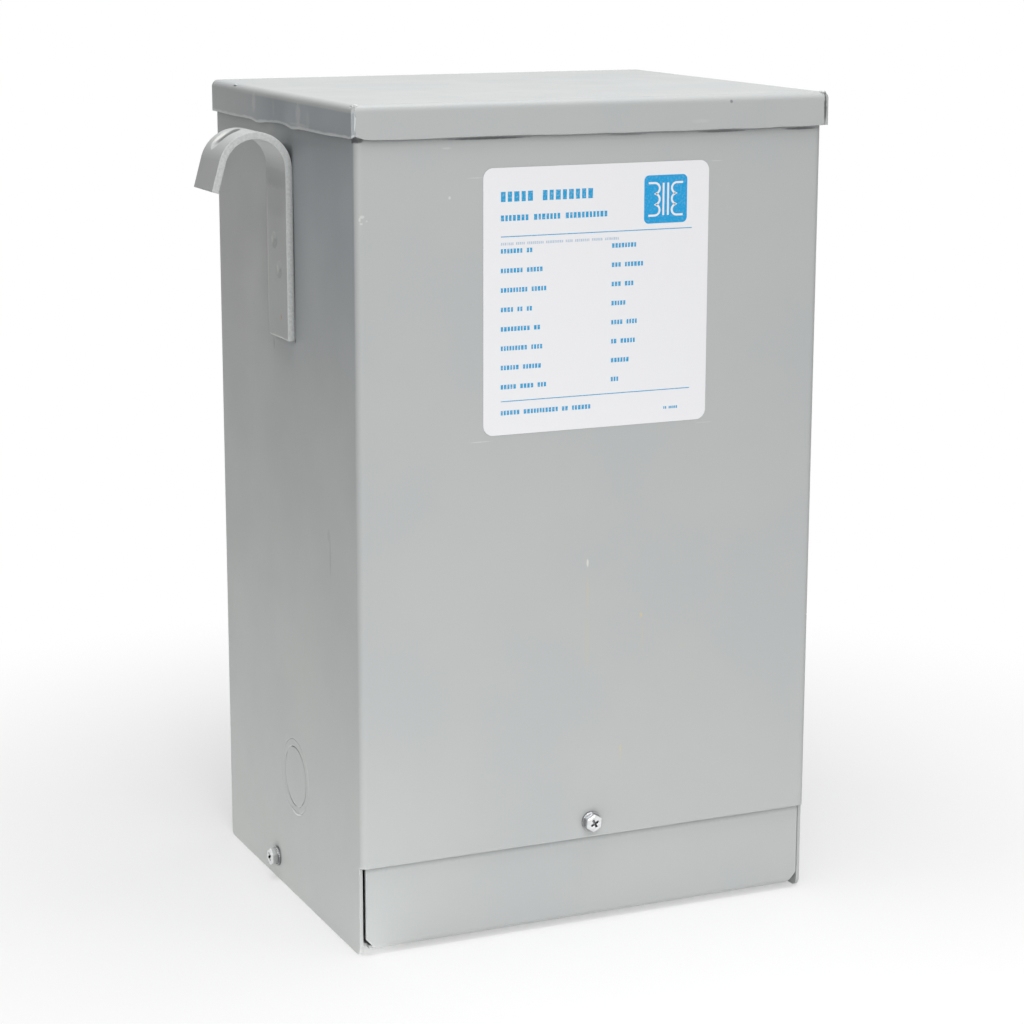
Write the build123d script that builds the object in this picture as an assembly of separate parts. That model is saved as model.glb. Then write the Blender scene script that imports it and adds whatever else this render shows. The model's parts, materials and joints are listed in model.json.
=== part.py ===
from build123d import *
import math
import os

# Wall-mount dry-type transformer: a folded sheet-steel case round a potted core and coil.
# Millimetres. The origin is under the middle of the case, +Z is up and the front faces -Y.

# Sheet metal
sheet = 1.52
bend_inside_radius = 1.5
slip_clearance = 0.3
flange_notch = 3.0
overrun = 20.0

# Case
case_width = 217.5
case_depth = 179.4
case_height = 365.3
front_bottom = 40.4
wall_setback = 1.6
wall_front_radius = 4.0
wall_back_radius = 3.0

# Lid
lid_flange = 14.1
lid_clearance = 0.25
lid_seam = 0.15
lid_relief_radius = 0.7

# Back panel
back_flange = 15.0
mount_slot_width = 9.5
mount_slot_length = 19.0
mount_spacing_x = 152.4
mount_low_z = 35.0
mount_top_drop = 25.5

# Bottom cover
cover_lift = 2.3
cover_front_flange = 54.0
cover_side_flange = 21.0
strip_side_gap = 1.0
strip_clip_width = 4.7
strip_clip_height = 5.5

# Knockouts, each an inner slug in an outer ring
slug_diameter = 28.2
slug_gap = 0.4
slug_tie_width = 8.0
slug_tie_angles = (125.0, 288.0)
ring_diameter = 34.9
ring_gap = 0.12
ring_tie_width = 16.0
ring_tie_angles = (30.0, 150.0)
side_knockout_y = -6.3
side_knockout_z = 57.5
back_knockout_z = 62.0

# Hexagon washer head screws
screw_diameter = 4.8
screw_length = 12.7
screw_point = 3.0
screw_clearance = 0.3
screw_flange_diameter = 9.2
screw_flange_height = 1.0
screw_hex_across_flats = 7.2
screw_head_height = 4.2
screw_edge_break = 0.5
screw_recess_span = 4.0
screw_recess_width = 1.1
screw_recess_depth = 1.4
screw_turn = 28.0
front_screw_z = 47.6
side_screw_y = 20.3
side_screw_z = 11.0

# Lifting hooks
hook_width = 25.4
hook_thickness = 3.1
hook_y = -1.7
hook_crown_drop = 15.8
hook_height = 91.1
hook_bend_radius = 16.6
hook_flare = 15.6
hook_tip_drop = 24.9
hook_edge_break = 0.6
dart_angle = 60.0
dart_offset_y = 3.0
dart_radius = 6.2
dart_depth = 2.1
weld_diameter = 7.5
weld_depth = 0.65
upper_weld_rise = 42.6
upper_weld_offset_y = 3.3
lower_weld_rise = 30.0
lower_weld_offset_y = -2.3

# Potted core and coil
barrier_z = 88.0
barrier_flange = 12.0
block_headroom = 45.0
core_cover = 22.0
lamination_unit_share = 1 / 6

# Worked out from the values above
bend_outside_radius = bend_inside_radius + sheet
wall_x = case_width / 2
front_y = -case_depth / 2
back_y = case_depth / 2
lid_under = case_height - sheet
# A square wall edge inside the lid's bend stops short of the lid by this much
bend_reach = bend_inside_radius - lid_clearance
lid_seat_gap = bend_inside_radius - math.sqrt(bend_inside_radius**2 - bend_reach**2)
wall_top = lid_under - lid_seat_gap
mount_rows = (mount_low_z, case_height - mount_top_drop)
mount_columns = (-mount_spacing_x / 2, mount_spacing_x / 2)
cover_front_y = front_y + sheet + slip_clearance
cover_back_y = back_y - sheet - slip_clearance
cover_half_width = wall_x - sheet - slip_clearance
strip_half_width = wall_x - sheet - strip_side_gap
flange_start_z = cover_lift + cover_side_flange + flange_notch
hook_crown_z = case_height - hook_crown_drop
hook_bottom = hook_crown_z - hook_height
hook_bend_x = wall_x + hook_bend_radius
hook_bend_z = hook_crown_z - hook_bend_radius
inner_half_width = wall_x - 2 * sheet
inner_depth = case_depth - 2 * sheet
block_top = case_height - block_headroom
lamination_unit = (2 * inner_half_width - 2 * core_cover) * lamination_unit_share
core_stack_depth = inner_depth - 2 * core_cover - 2 * lamination_unit

# Directions, and the two sides of the case
RIGHT, BACK, UP = Vector(1, 0, 0), Vector(0, 1, 0), Vector(0, 0, 1)
SIDES = {"left": -1, "right": 1}

# The outside planes of the sheets, with y up on the upright ones
front_plane = Plane(origin=(0, front_y, 0), x_dir=RIGHT, z_dir=-BACK)
back_plane = Plane(origin=(0, back_y, 0), x_dir=-RIGHT, z_dir=BACK)
under_plane = Plane(origin=(0, 0, cover_lift), x_dir=RIGHT, z_dir=-UP)


def wall_plane(side):
    """The outside plane of the left (-1) or right (+1) wall."""
    return Plane(origin=(side * wall_x, 0, 0), x_dir=BACK * side, z_dir=RIGHT * side)


def side_screw_plane(side):
    """The seat of the screw in a side wall."""
    return wall_plane(side) * Pos(side * side_screw_y, side_screw_z)


def side_knockout_plane(side):
    """The middle of the knockout in a side wall."""
    return wall_plane(side) * Pos(side * side_knockout_y, side_knockout_z)


front_screw_plane = front_plane * Pos(0, front_screw_z)
back_knockout_plane = back_plane * Pos(0, back_knockout_z)
screw_hole = Circle(screw_diameter / 2 + screw_clearance)
knockout_hole = Circle(ring_diameter / 2)


def block(x_low, x_high, y_low, y_high, z_low, z_high):
    """A plain block between two corners."""
    size = (x_high - x_low, y_high - y_low, z_high - z_low)
    middle = ((x_low + x_high) / 2, (y_low + y_high) / 2, (z_low + z_high) / 2)
    return Pos(*middle) * Box(*size)


def hole_at(plane, shape):
    """The cut of a hole through the sheet whose outside is the plane."""
    return extrude(plane * shape, sheet + slip_clearance, both=True)


def fold_profile(plane, flange):
    """The section of a bend: the flange is measured over the bend, down from the plane's x axis."""
    outside = bend_outside_radius
    diagonal = math.sqrt(1 / 2)
    outer_middle = (outside * diagonal, outside * diagonal - outside)
    inner_middle = (bend_inside_radius * diagonal, bend_inside_radius * diagonal - outside)
    inner_end = (bend_inside_radius, -outside)
    with BuildSketch(plane) as profile:
        with BuildLine():
            ThreePointArc((0, 0), outer_middle, (outside, -outside))
            Polyline((outside, -outside), (outside, -flange), (bend_inside_radius, -flange), inner_end)
            ThreePointArc(inner_end, inner_middle, (0, -sheet))
            Line((0, -sheet), (0, 0))
        make_face()
    return profile.sketch


def fold(start, end, face, outward, flange):
    """A bend and its flange along a tangent line.

    The sheet's outside looks along face before the bend, and along outward on the flange.
    """
    first, last = Vector(*start), Vector(*end)
    normal = outward.cross(face)
    run = (last - first).dot(normal)
    plane = Plane(origin=first if run > 0 else last, x_dir=outward, z_dir=normal)
    return extrude(fold_profile(plane, flange), abs(run))


def channel_profile(width, depth):
    """The plan of a sheet bent into a channel, open towards +Y, with its web's face on the X axis."""
    outer = Pos(0, depth / 2) * Rectangle(width, depth)
    outer = fillet(outer.vertices().sort_by(Axis.Y)[:2], bend_outside_radius)
    inner = Pos(0, sheet + depth / 2) * Rectangle(width - 2 * sheet, depth)
    inner = fillet(inner.vertices().sort_by(Axis.Y)[:2], bend_inside_radius)
    return outer - inner


def make_case_wrap():
    """Left wall, front wall and right wall in one bent sheet, with the front cut short."""
    wrap = extrude(Pos(0, front_y) * channel_profile(case_width, case_depth - wall_setback), wall_top)
    bend_back = front_y + bend_outside_radius
    wide = wall_x + overrun
    wrap -= block(-wide, wide, front_y - overrun, bend_back, -overrun, front_bottom)
    for corner, radius in ((0, wall_front_radius), (-1, wall_back_radius)):
        low_edges = wrap.edges().filter_by(Axis.X).filter_by_position(Axis.Z, -overrun, sheet)
        wrap = fillet(low_edges.group_by(Axis.Y)[corner], radius)
    wrap -= hole_at(front_screw_plane, screw_hole)
    for side in SIDES.values():
        wrap -= hole_at(side_screw_plane(side), screw_hole)
        wrap -= hole_at(side_knockout_plane(side), knockout_hole)
    return wrap


def make_lid():
    """A pan with three flanges: the front one fits between the ends of the side ones."""
    half_width = wall_x + lid_clearance + sheet
    lid_front = front_y - lid_clearance - sheet
    bend_x = half_width - bend_outside_radius
    bend_y = lid_front + bend_outside_radius
    seam_x = half_width - sheet
    front_half = seam_x - lid_seam
    lid = block(-bend_x, bend_x, bend_y, back_y, lid_under, case_height)
    for side in SIDES.values():
        start = (side * bend_x, lid_front, case_height)
        end = (side * bend_x, back_y, case_height)
        lid += fold(start, end, UP, RIGHT * side, lid_flange)
    lid -= block(-seam_x, seam_x, lid_front - overrun, bend_y, lid_under - overrun, case_height + overrun)
    lid += fold((-front_half, bend_y, case_height), (front_half, bend_y, case_height), UP, -BACK, lid_flange)
    for side in SIDES.values():
        relief_x = side * (seam_x - lid_seam / 2)
        lid -= Pos(relief_x, bend_y, case_height) * Cylinder(lid_relief_radius, overrun)
    return lid


def make_back_panel():
    """The flat back with side flanges inside the walls and a top flange under the lid."""
    half_width = wall_x - sheet
    bend_z = lid_under - bend_outside_radius
    bend_y = back_y - bend_outside_radius
    top_half = half_width - bend_outside_radius - flange_notch
    panel = extrude(mirror(channel_profile(2 * half_width, back_flange), Plane.XZ), bend_z)
    panel = Pos(0, back_y) * panel
    panel -= block(-wall_x, wall_x, front_y, bend_y, -overrun, flange_start_z)
    panel += fold((-top_half, back_y, bend_z), (top_half, back_y, bend_z), BACK, UP, back_flange)
    for x in mount_columns:
        for z in mount_rows:
            panel -= hole_at(back_plane * Pos(x, z), SlotOverall(mount_slot_length, mount_slot_width))
    panel -= hole_at(back_knockout_plane, knockout_hole)
    return panel


def make_bottom_cover():
    """A tray under the wiring compartment, with a tall front strip clipped at its lower corners."""
    bend_x = cover_half_width - bend_outside_radius
    front_bend = cover_front_y + bend_outside_radius
    back_bend = cover_back_y - bend_outside_radius
    cover = block(-bend_x, bend_x, front_bend, back_bend, cover_lift, cover_lift + sheet)
    strip_start = (-strip_half_width, front_bend, cover_lift)
    strip_end = (strip_half_width, front_bend, cover_lift)
    cover += fold(strip_start, strip_end, -UP, -BACK, cover_front_flange)
    rear_start = (-bend_x, back_bend, cover_lift)
    rear_end = (bend_x, back_bend, cover_lift)
    cover += fold(rear_start, rear_end, -UP, BACK, cover_side_flange)
    for side in SIDES.values():
        start = (side * bend_x, front_bend + flange_notch, cover_lift)
        end = (side * bend_x, back_bend - flange_notch, cover_lift)
        cover += fold(start, end, -UP, RIGHT * side, cover_side_flange)
        corner = (side * strip_half_width, cover_lift)
        inset = (side * (strip_half_width - strip_clip_width), cover_lift)
        above = (side * strip_half_width, cover_lift + strip_clip_height)
        clip = make_face(Polyline(corner, inset, above, close=True))
        cover -= extrude(Plane.XZ.offset(-front_bend) * clip, bend_outside_radius + overrun)
        cover -= hole_at(side_screw_plane(side) * Pos(0, 0, -sheet), screw_hole)
    cover -= hole_at(front_screw_plane * Pos(0, 0, -sheet), screw_hole)
    cover -= hole_at(under_plane, knockout_hole)
    return cover


def tied_disc(radius, gap, tie_width, tie_angles):
    """A disc cut free of a round hole by a gap, but for the ties that reach the hole's edge."""
    disc = Circle(radius - gap)
    for angle in tie_angles:
        disc += Rot(0, 0, angle) * Pos(radius / 2, 0) * Rectangle(radius + gap, tie_width)
    return disc & Circle(radius)


def make_slug(plane):
    """The inner disc of a knockout."""
    return extrude(plane * tied_disc(slug_diameter / 2, slug_gap, slug_tie_width, slug_tie_angles), -sheet)


def make_ring(plane):
    """The outer ring of a knockout."""
    disc = tied_disc(ring_diameter / 2, ring_gap, ring_tie_width, ring_tie_angles)
    return extrude(plane * (disc - Circle(slug_diameter / 2)), -sheet)


def make_screw(plane):
    """A hexagon washer head screw with a cross recess, its head seated on the plane."""
    stand = (Align.CENTER, Align.CENTER, Align.MIN)
    hang = (Align.CENTER, Align.CENTER, Align.MAX)
    hex_radius = screw_hex_across_flats / 2
    head = extrude(RegularPolygon(hex_radius, 6, major_radius=False), screw_head_height)
    head = chamfer(head.faces().sort_by(Axis.Z)[-1].edges(), screw_edge_break)
    head += Cylinder(screw_flange_diameter / 2, screw_flange_height, align=stand)
    recess = Box(screw_recess_span, screw_recess_width, 2 * screw_recess_depth)
    recess += Box(screw_recess_width, screw_recess_span, 2 * screw_recess_depth)
    head -= Pos(0, 0, screw_head_height) * recess
    radius = screw_diameter / 2
    shank = Cylinder(radius, screw_length - screw_point, align=hang)
    point = Pos(0, 0, screw_point - screw_length) * Cone(0, radius, screw_point, align=hang)
    return plane * Rot(0, 0, screw_turn) * (head + shank + point)


def on_hook_bend(radius, angle):
    """A point of the hook's side view, at an angle round the middle of its bend."""
    return Vector(hook_bend_x, hook_bend_z) + Vector(math.cos(angle), math.sin(angle)) * radius


def hook_profile():
    """The side view of the right strap: up the wall, over the crown and down to a flared tip."""
    radius = hook_bend_radius
    inner_radius = radius - hook_thickness
    flare = math.radians(hook_flare)
    middle = (math.pi + flare) / 2
    outer_end = on_hook_bend(radius, flare)
    inner_end = on_hook_bend(inner_radius, flare)
    drop = (outer_end.Y - hook_crown_z + hook_tip_drop) / math.cos(flare)
    leg = Vector(math.sin(flare), -math.cos(flare)) * drop
    foot = (wall_x, hook_bottom)
    break_low = (wall_x + hook_thickness - hook_edge_break, hook_bottom)
    break_high = (wall_x + hook_thickness, hook_bottom + hook_edge_break)
    with BuildSketch(Plane.XZ) as profile:
        with BuildLine():
            Line(foot, on_hook_bend(radius, math.pi))
            ThreePointArc(on_hook_bend(radius, math.pi), on_hook_bend(radius, middle), outer_end)
            Polyline(outer_end, outer_end + leg, inner_end + leg, inner_end)
            ThreePointArc(inner_end, on_hook_bend(inner_radius, middle), on_hook_bend(inner_radius, math.pi))
            Polyline(on_hook_bend(inner_radius, math.pi), break_high, break_low, foot)
        make_face()
    return profile.sketch


def press_dart(strap):
    """A straight punch pressed into the crown: a groove outside and its swelling inside."""
    angle = math.radians(dart_angle)
    axis = on_hook_bend(hook_bend_radius - dart_depth + dart_radius, angle)
    along = Vector(-math.sin(angle), 0, math.cos(angle))
    punch_plane = Plane(origin=(axis.X, hook_y + dart_offset_y, axis.Y), z_dir=along)
    run = 2 * hook_bend_radius
    swelling = punch_plane * Cylinder(dart_radius + hook_thickness, run)
    bend_plane = Plane(origin=(hook_bend_x, hook_y, hook_bend_z), z_dir=BACK)
    crown = bend_plane * Cylinder(hook_bend_radius, hook_width)
    return strap + (swelling & crown) - punch_plane * Cylinder(dart_radius, run)


def weld_dimple():
    """The shallow round dent of a spot weld, on the face that looks along +X."""
    half = weld_diameter / 2
    ball = (half**2 + weld_depth**2) / (2 * weld_depth)
    return Pos(ball - weld_depth, 0, 0) * Sphere(ball)


def make_right_hook():
    """A bent strap with a dart in its crown and two spot welds on its leg."""
    hook = Pos(0, hook_y, 0) * extrude(hook_profile(), hook_width / 2, both=True)
    hook = press_dart(hook)
    welds = {upper_weld_rise: upper_weld_offset_y, lower_weld_rise: lower_weld_offset_y}
    for rise, offset in welds.items():
        hook -= Pos(wall_x + hook_thickness, hook_y + offset, hook_bottom + rise) * weld_dimple()
    return hook


def make_barrier():
    """The plate between the potted block and the wiring compartment, with a front flange."""
    half = inner_half_width
    bend_y = front_y + sheet + bend_outside_radius
    plate = block(-half, half, bend_y, back_y - sheet, barrier_z - sheet, barrier_z)
    plate = chamfer(plate.edges().filter_by(Axis.Z).group_by(Axis.Y)[-1], bend_inside_radius)
    return plate + fold((-half, bend_y, barrier_z), (half, bend_y, barrier_z), UP, -BACK, barrier_flange)


def make_core():
    """A stack of scrapless laminations: six units wide, five high, with two windows."""
    unit, half_stack = lamination_unit, core_stack_depth / 2
    core = block(-3 * unit, 3 * unit, -half_stack, half_stack, barrier_z, barrier_z + 5 * unit)
    window = block(-unit / 2, unit / 2, -half_stack, half_stack, barrier_z + unit, barrier_z + 4 * unit)
    for side in SIDES.values():
        core -= Pos(side * unit * 3 / 2, 0, 0) * window
    return core


def make_coil():
    """The winding that fills both windows round the middle limb."""
    unit = lamination_unit
    plan = RectangleRounded(4 * unit, core_stack_depth + 2 * unit, unit * 3 / 4)
    plan -= Rectangle(2 * unit, core_stack_depth)
    return Pos(0, 0, barrier_z + unit) * extrude(plan, 3 * unit)


def make_potting(core, coil):
    """The cast block that holds the core and coil, with air above it."""
    half = inner_half_width
    cast = block(-half, half, front_y + sheet, back_y - sheet, barrier_z, block_top)
    return chamfer(cast.edges().filter_by(Axis.Z), bend_inside_radius) - core - coil


def make_parts():
    """Every piece of the transformer by its name."""
    right_hook = make_right_hook()
    core = make_core()
    coil = make_coil()
    parts = {
        "case_wrap": make_case_wrap(),
        "lid": make_lid(),
        "back_panel": make_back_panel(),
        "bottom_cover": make_bottom_cover(),
        "left_hook": mirror(right_hook, Plane.YZ),
        "right_hook": right_hook,
        "front_cover_screw": make_screw(front_screw_plane),
        "compartment_barrier": make_barrier(),
        "core_stack": core,
        "coil": coil,
        "potting_block": make_potting(core, coil),
    }
    knockouts = {"back": back_knockout_plane, "bottom": under_plane}
    for name, side in SIDES.items():
        parts[name + "_cover_screw"] = make_screw(side_screw_plane(side))
        knockouts[name] = side_knockout_plane(side)
    for name, plane in knockouts.items():
        parts[name + "_knockout_slug"] = make_slug(plane)
        parts[name + "_knockout_ring"] = make_ring(plane)
    return parts


os.makedirs("parts", exist_ok=True)
for node, solid in make_parts().items():
    export_step(solid, "parts/" + node + ".step")
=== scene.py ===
import bmesh
import bpy
import json
import math
import random
from mathutils import Matrix, Vector, noise


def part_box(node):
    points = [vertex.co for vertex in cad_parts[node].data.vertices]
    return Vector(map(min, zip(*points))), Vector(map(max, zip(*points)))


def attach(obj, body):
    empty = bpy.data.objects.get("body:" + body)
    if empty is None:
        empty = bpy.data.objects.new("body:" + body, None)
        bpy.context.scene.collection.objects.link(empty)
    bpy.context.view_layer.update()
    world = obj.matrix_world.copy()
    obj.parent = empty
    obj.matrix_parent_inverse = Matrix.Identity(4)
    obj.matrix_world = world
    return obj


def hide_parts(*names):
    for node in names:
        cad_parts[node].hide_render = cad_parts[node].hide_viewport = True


# The looks of a wall-mount dry-type transformer in a grey sheet-steel case, in metres. Places are in the
# frame's axes: x to the right, y to the back and z up, from the middle of the case's foot.

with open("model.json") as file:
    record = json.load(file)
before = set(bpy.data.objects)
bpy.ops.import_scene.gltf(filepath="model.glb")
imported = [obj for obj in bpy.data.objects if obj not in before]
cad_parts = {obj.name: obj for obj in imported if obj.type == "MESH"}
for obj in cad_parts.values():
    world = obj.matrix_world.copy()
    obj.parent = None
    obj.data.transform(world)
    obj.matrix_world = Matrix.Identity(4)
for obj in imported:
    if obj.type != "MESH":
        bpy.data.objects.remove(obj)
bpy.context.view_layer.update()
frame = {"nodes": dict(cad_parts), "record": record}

# Places taken from the frame
WRAP_LOW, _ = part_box("case_wrap")
LID_LOW, LID_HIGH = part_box("lid")
LEFT_X, FRONT_Y = WRAP_LOW.x, WRAP_LOW.y
LEFT_RING_LOW, LEFT_RING_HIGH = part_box("left_knockout_ring")

# Camera: place, turns, and its lens and sensor in millimetres
CAMERA_PLACE = Vector((-0.4971, -1.1170, 0.4419))
CAMERA_YAW = math.radians(-24.05)
CAMERA_PITCH = math.radians(12.553)
CAMERA_ROLL = math.radians(0.114)
CAMERA_LENS = 95.06
SENSOR_WIDTH = 36.0
CLIP_NEAR, CLIP_FAR = 0.05, 120.0

# Lamps: place, aim, width, height, power
LAMPS = {
    "overhead": ((0.0, -0.2, 1.7), (0.0, -0.2, 0.0), 1.2, 1.2, 24.2),
    "key": ((-0.36, -1.5, 1.2), (0.0, 0.0, 0.2), 1.0, 1.2, 12.3),
    "key_low": ((-0.36, -1.6, 0.45), (0.0, 0.0, 0.15), 1.0, 0.5, 7.6),
}
WORLD_FILL = (0.93, 0.97, 1.0)
WORLD_STRENGTH = 0.01

# Floor: its size and colours, the distances over which its bounce fades, and those over which it turns
# plain white, from a least share of that
FLOOR_SIZE = 60.0
FLOOR_WHITE = (0.92, 0.92, 0.92)
FLOOR_DARK = (0.12, 0.12, 0.12)
BOUNCE_NEAR, BOUNCE_FAR = 0.25, 0.9
WHITE_NEAR, WHITE_FAR, WHITE_LEAST = 0.20, 0.50, 0.45
# Patches of the table that throw light up at the object: x, y, half width, half depth, strength. Then
# the share of the half sizes over which they fade, and their tint
GLOWS = (
    (-0.17, 0.04, 0.09, 0.25, 1.02),
    (-0.34, 0.00, 0.15, 0.34, 0.70),
    (0.00, -0.20, 0.30, 0.13, 0.25),
    (0.00, -0.50, 0.40, 0.22, 0.36),
)
GLOW_SOFT = 0.4
GLOW_TINT = (0.985, 0.985, 0.945)

# Colours
GREY = (0.452, 0.468, 0.467)
GREY_COOL = (0.443, 0.460, 0.462)
GREY_WARM = (0.460, 0.473, 0.466)
# Painted highlight on edges, rims, hems and lit cut edges
GREY_HIGHLIGHT = (0.76, 0.78, 0.78)
# Painted shade on the left side's upper front part
GREY_SHADED = (0.310, 0.338, 0.362)
# Painted shade in seams and corners
SEAM_SHADE = (0.11, 0.115, 0.12)
ZINC = (0.80, 0.81, 0.82)
ZINC_DULL = (0.62, 0.63, 0.64)
STEEL = (0.42, 0.42, 0.42)
CORE = (0.13, 0.13, 0.14)
WINDING = (0.30, 0.17, 0.07)
POTTING = (0.03, 0.03, 0.032)
LABEL_WHITE = (0.80, 0.80, 0.82)
INK = (0.0, 0.30, 0.58)
INK_FAINT = (0.45, 0.55, 0.66)
INK_EMBLEM = (0.0, 0.31, 0.63)
# Chalky soil, and painted highlights in the marks
CHALK_AND_HIGHLIGHT = (0.70, 0.70, 0.66)
TAN = (0.56, 0.50, 0.34)
# Smudges, and painted shadow in the marks
SMUDGE_AND_SHADOW = (0.22, 0.23, 0.235)
RUST = (0.50, 0.27, 0.10)
SHADE = (0.03, 0.03, 0.032)
WHITE = (1.0, 1.0, 1.0)

# Rays for each broken edge and for each seam
EDGE_SAMPLES, SEAM_SAMPLES = 3, 2

# The stretch of a noise's values over which it acts
WIDE_RANGE, PLAIN_RANGE, NARROW_RANGE = (0.25, 0.75), (0.3, 0.7), (0.35, 0.65)

# A colour mix node's sockets: factor, first and second colour, and the result
MIX_INPUTS, MIX_RESULT = (0, 6, 7), 2


class Graph:
    """A material's node tree, with short calls that return output sockets."""

    def __init__(self, tree):
        self.tree = tree
        self.tree.nodes.clear()

    def feed(self, socket, value):
        """Links a socket to another socket, or sets its colour or number."""
        if isinstance(value, bpy.types.NodeSocket):
            self.tree.links.new(value, socket)
        elif socket.type == "RGBA":
            socket.default_value = (*value, 1.0)
        else:
            socket.default_value = value

    def node(self, kind, settings=None, **inputs):
        """Adds a node with its settings and inputs."""
        made = self.tree.nodes.new(kind)
        for name, value in (settings or {}).items():
            setattr(made, name, value)
        for name, value in inputs.items():
            self.feed(made.inputs[name.replace("_", " ")], value)
        return made

    def combine(self, kind, operation, first, second):
        """A node that works on two values."""
        made = self.node(kind, {"operation": operation})
        for socket, value in zip(made.inputs, (first, second)):
            self.feed(socket, value)
        return made

    def calc(self, operation, first, second=0.0):
        """One sum on two numbers."""
        return self.combine("ShaderNodeMath", operation, first, second).outputs[0]

    def smooth(self, value, start, end, low=0.0, high=1.0):
        """A smooth step from low at start to high at end."""
        settings = {"interpolation_type": "SMOOTHSTEP"}
        ends = {"From_Min": start, "From_Max": end, "To_Min": low, "To_Max": high}
        return self.node("ShaderNodeMapRange", settings, Value=value, **ends).outputs["Result"]

    def blend(self, factor, first, second):
        """A mix of two colours."""
        made = self.tree.nodes.new("ShaderNodeMix")
        made.data_type = "RGBA"
        for index, value in zip(MIX_INPUTS, (factor, first, second)):
            self.feed(made.inputs[index], value)
        return made.outputs[MIX_RESULT]

    def place(self):
        """The place on the object, in metres."""
        return self.node("ShaderNodeTexCoord").outputs["Object"]

    def noise(self, vector, size, detail=2.0, roughness=0.5):
        """Noise whose features are about that size, from 0 to 1."""
        inputs = {"Vector": vector, "Scale": 1 / size, "Detail": detail, "Roughness": roughness}
        return self.node("ShaderNodeTexNoise", **inputs).outputs["Fac"]

    def stretch(self, vector, scale):
        """The place scaled along each axis."""
        return self.combine("ShaderNodeVectorMath", "MULTIPLY", vector, scale).outputs["Vector"]

    def length(self, vector):
        """The length of a vector."""
        return self.node("ShaderNodeVectorMath", {"operation": "LENGTH"}, Vector=vector).outputs["Value"]

    def bump(self, height, strength, distance, normal=None):
        """A bump on a normal."""
        made = self.node("ShaderNodeBump", Height=height, Strength=strength, Distance=distance)
        if normal is not None:
            self.tree.links.new(normal, made.inputs["Normal"])
        return made.outputs["Normal"]

    def facing(self):
        """The direction that the surface faces."""
        return self.node("ShaderNodeNewGeometry").outputs["Normal"]

    def soft_edges(self, radius):
        """The normal with its sharp edges broken."""
        return self.node("ShaderNodeBevel", {"samples": EDGE_SAMPLES}, Radius=radius).outputs["Normal"]

    def edge_share(self, normal):
        """How far a softened normal turns away from the plain one: 0 on a face, more at its edges."""
        along = self.combine("ShaderNodeVectorMath", "DOT_PRODUCT", self.facing(), normal)
        return self.calc("SUBTRACT", 1.0, along.outputs["Value"])

    def openness(self, distance):
        """1 in the open, and less in seams and corners narrower than that distance."""
        settings = {"samples": SEAM_SAMPLES}
        return self.node("ShaderNodeAmbientOcclusion", settings, Distance=distance).outputs["AO"]

    def seen(self):
        """1 for what is seen straight, mirrored or through glass, and 0 for light that is thrown on."""
        rays = self.node("ShaderNodeLightPath").outputs
        shown = self.calc("MAXIMUM", rays["Is Camera Ray"], rays["Is Glossy Ray"])
        return self.calc("MAXIMUM", shown, rays["Is Transmission Ray"])

    def mix(self, factor, first, second):
        """A mix of two shaders."""
        made = self.node("ShaderNodeMixShader", Fac=factor)
        for socket, shader in zip(made.inputs[1:], (first, second)):
            self.feed(socket, shader)
        return made.outputs[0]

    def result(self, shader, kind="ShaderNodeOutputMaterial"):
        """Makes a shader the tree's result."""
        self.node(kind, Surface=shader)

    def surface(self, **inputs):
        """A principled surface as the tree's result."""
        self.result(self.node("ShaderNodeBsdfPrincipled", **inputs).outputs[0])


def new_graph(name):
    """A new material and its empty node tree."""
    material = bpy.data.materials.new(name)
    material.use_nodes = True
    return material, Graph(material.node_tree)


# Marks on the front: x, z, half width, half height, colour, strength
FRONT_MARKS = (
    (-0.0027, 0.1656, 0.0007, 0.0024, CHALK_AND_HIGHLIGHT, 0.75),
    (-0.0026, 0.1520, 0.0009, 0.0110, TAN, 0.30),
    (-0.0028, 0.1300, 0.0022, 0.0160, TAN, 0.16),
    (0.0235, 0.1396, 0.0011, 0.0017, TAN, 0.85),
    (0.0244, 0.1300, 0.0010, 0.0085, TAN, 0.18),
    (0.0141, 0.0796, 0.0007, 0.0021, TAN, 0.80),
    (0.0141, 0.0760, 0.0010, 0.0040, TAN, 0.20),
    (0.0441, 0.1235, 0.0016, 0.0016, TAN, 0.16),
    (0.0497, 0.1083, 0.0014, 0.0016, TAN, 0.16),
    (-0.0534, 0.2229, 0.0070, 0.00030, CHALK_AND_HIGHLIGHT, 0.45),
    (-0.0555, 0.3340, 0.0050, 0.00030, CHALK_AND_HIGHLIGHT, 0.35),
    (0.0570, 0.3372, 0.0045, 0.00030, CHALK_AND_HIGHLIGHT, 0.30),
    (0.0530, 0.2235, 0.0060, 0.00025, CHALK_AND_HIGHLIGHT, 0.30),
    (-0.1056, 0.3200, 0.0013, 0.0010, CHALK_AND_HIGHLIGHT, 0.55),
    (-0.1066, 0.3190, 0.0006, 0.0012, CHALK_AND_HIGHLIGHT, 0.55),
    (-0.1060, 0.3172, 0.0009, 0.0006, CHALK_AND_HIGHLIGHT, 0.50),
    (-0.1036, 0.3182, 0.0006, 0.0005, CHALK_AND_HIGHLIGHT, 0.40),
    (-0.0670, 0.3263, 0.0008, 0.0010, CHALK_AND_HIGHLIGHT, 0.60),
    (-0.0684, 0.3466, 0.0030, 0.0005, CHALK_AND_HIGHLIGHT, 0.30),
    # Painted shadow under the lid's front flange where it stands off the wall
    (-0.0500, 0.3501, 0.0260, 0.0007, SHADE, 0.80),
    (0.0140, 0.3497, 0.0130, 0.0006, SHADE, 0.35),
    (0.0590, 0.3497, 0.0160, 0.0007, SHADE, 0.65),
    (0.0980, 0.3497, 0.0110, 0.0007, SHADE, 0.75),
    # Painted shadow in the notch at the case's upper left front corner
    (-0.1078, 0.3508, 0.0044, 0.0015, SHADE, 0.90),
)
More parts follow.
